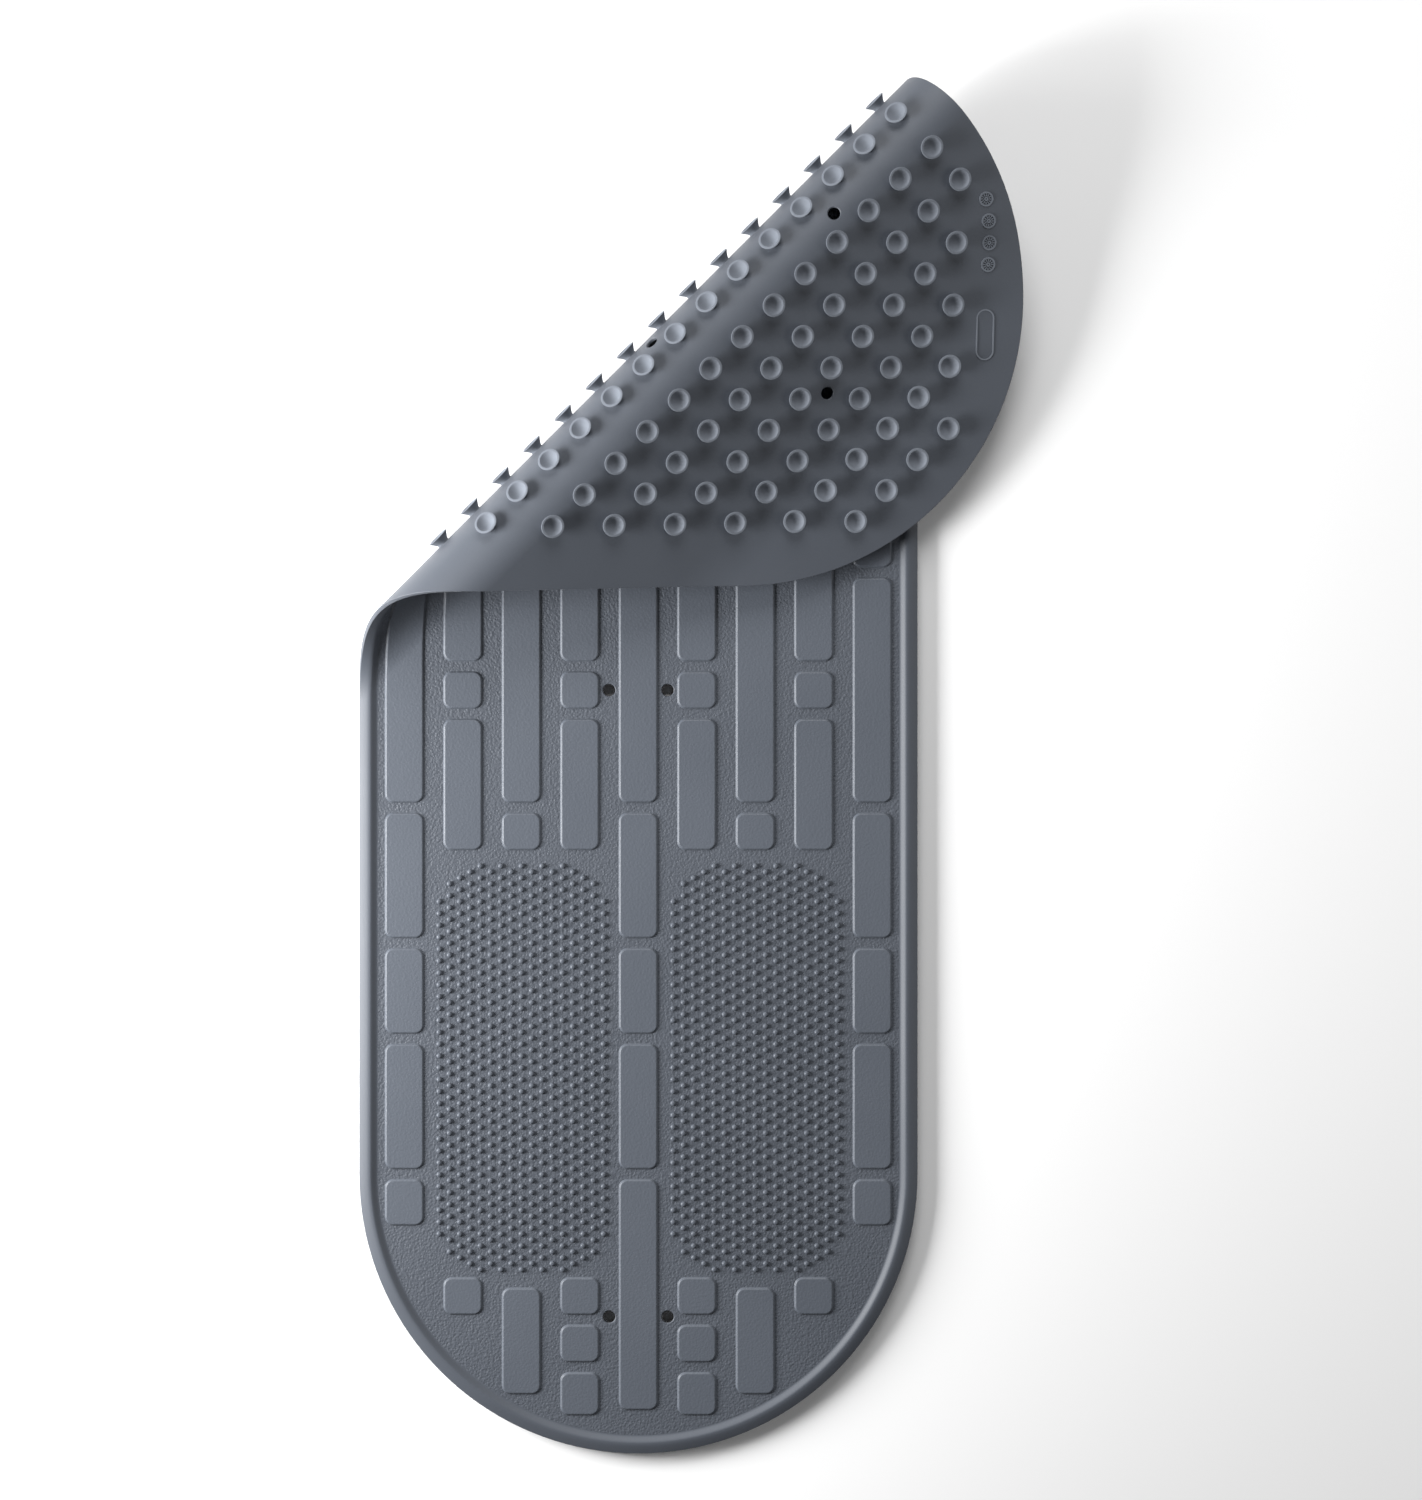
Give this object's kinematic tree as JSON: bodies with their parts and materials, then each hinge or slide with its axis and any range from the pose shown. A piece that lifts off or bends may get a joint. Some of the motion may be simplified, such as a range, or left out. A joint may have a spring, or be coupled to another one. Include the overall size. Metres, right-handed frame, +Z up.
{
  "type": "rubber mat",
  "caption": "Long rubber mat with round ends, raised tread pads and nub fields on top, suction cups underneath and drain holes, lying with one end folded over.",
  "frame": {"origin": "centre of the folded mat's footprint, on the surface that its suction cups stand on", "axes": "+Y along the mat from its free round end towards the folded end, +X across it to the side that the flap overhangs, +Z up"},
  "size_m": [0.474, 0.9773, 0.0848],
  "materials": {
    "sheet_rubber": "fine leathery grain, matt",
    "rim_rubber": "smooth satin",
    "tread_rubber": "smooth satin",
    "cup_rubber": "smooth satin"
  },
  "bodies": {
    "main": {"main_sheet": "sheet_rubber", "main_rim": "rim_rubber", "main_tread_pads": "tread_rubber", "left_nub_field": "tread_rubber", "right_nub_field": "tread_rubber", "main_suction_cups": "cup_rubber"},
    "fold_1": {"fold_1_sheet": "sheet_rubber", "fold_1_rim": "rim_rubber", "fold_1_tread_pads": "tread_rubber"},
    "fold_2": {"fold_2_sheet": "sheet_rubber", "fold_2_rim": "rim_rubber", "fold_2_tread_pads": "tread_rubber", "fold_2_suction_cups": "cup_rubber"},
    "fold_3": {"fold_3_sheet": "sheet_rubber", "fold_3_rim": "rim_rubber", "fold_3_tread_pads": "tread_rubber"},
    "fold_4": {"fold_4_sheet": "sheet_rubber", "fold_4_rim": "rim_rubber", "fold_4_tread_pads": "tread_rubber", "fold_4_suction_cups": "cup_rubber"},
    "fold_5": {"fold_5_sheet": "sheet_rubber", "fold_5_rim": "rim_rubber", "fold_5_tread_pads": "tread_rubber"},
    "fold_6": {"fold_6_sheet": "sheet_rubber", "fold_6_rim": "rim_rubber", "fold_6_tread_pads": "tread_rubber", "fold_6_suction_cups": "cup_rubber"},
    "fold_7": {"fold_7_sheet": "sheet_rubber", "fold_7_rim": "rim_rubber", "fold_7_tread_pads": "tread_rubber"},
    "flap": {"flap_sheet": "sheet_rubber", "flap_rim": "rim_rubber", "flap_tread_pads": "tread_rubber", "flap_suction_cups": "cup_rubber", "date_dials": "rim_rubber"},
    "flap_end": {"flap_end_sheet": "sheet_rubber", "flap_end_rim": "rim_rubber", "flap_end_tread_pads": "tread_rubber", "flap_end_suction_cups": "cup_rubber", "maker_plate": "rim_rubber"}
  },
  "joints": [
    {"name": "crease_1", "type": "hinge", "parent": "main", "child": "fold_1", "pos_m": [-0.03685, 0.2584, 0.00725], "axis": [-0.7071, -0.7071, 0], "range_deg": [0, 25.2]},
    {"name": "crease_2", "type": "hinge", "parent": "fold_1", "child": "fold_2", "pos_m": [-0.04678, 0.26833, 0.01386], "axis": [-0.7071, -0.7071, 0], "range_deg": [0, 25.2]},
    {"name": "crease_3", "type": "hinge", "parent": "fold_2", "child": "fold_3", "pos_m": [-0.05378, 0.27533, 0.02582], "axis": [-0.7071, -0.7071, 0], "range_deg": [0, 25.2]},
    {"name": "crease_4", "type": "hinge", "parent": "fold_3", "child": "fold_4", "pos_m": [-0.0565, 0.27806, 0.04085], "axis": [-0.7071, -0.7071, 0], "range_deg": [0, 25.2]},
    {"name": "crease_5", "type": "hinge", "parent": "fold_4", "child": "fold_5", "pos_m": [-0.05445, 0.276, 0.0561], "axis": [-0.7071, -0.7071, 0], "range_deg": [0, 25.2]},
    {"name": "crease_6", "type": "hinge", "parent": "fold_5", "child": "fold_6", "pos_m": [-0.048, 0.26955, 0.06865], "axis": [-0.7071, -0.7071, 0], "range_deg": [0, 25.2]},
    {"name": "crease_7", "type": "hinge", "parent": "fold_6", "child": "fold_7", "pos_m": [-0.03838, 0.25994, 0.07613], "axis": [-0.7071, -0.7071, 0], "range_deg": [0, 25.2]},
    {"name": "crease_8", "type": "hinge", "parent": "fold_7", "child": "flap", "pos_m": [-0.02743, 0.24898, 0.07711], "axis": [-0.7071, -0.7071, 0], "range_deg": [0, 25.2]},
    {"name": "flap_end_bend", "type": "hinge", "parent": "flap", "child": "flap_end", "pos_m": [0.04911, 0.17245, 0.03425], "axis": [0.7071, 0.7071, 0], "range_deg": [0, 9.6]}
  ],
  "couplings": [
    {"joint": "flap_end_bend", "follows": "crease_8", "ratio": 0.38095}
  ]
}
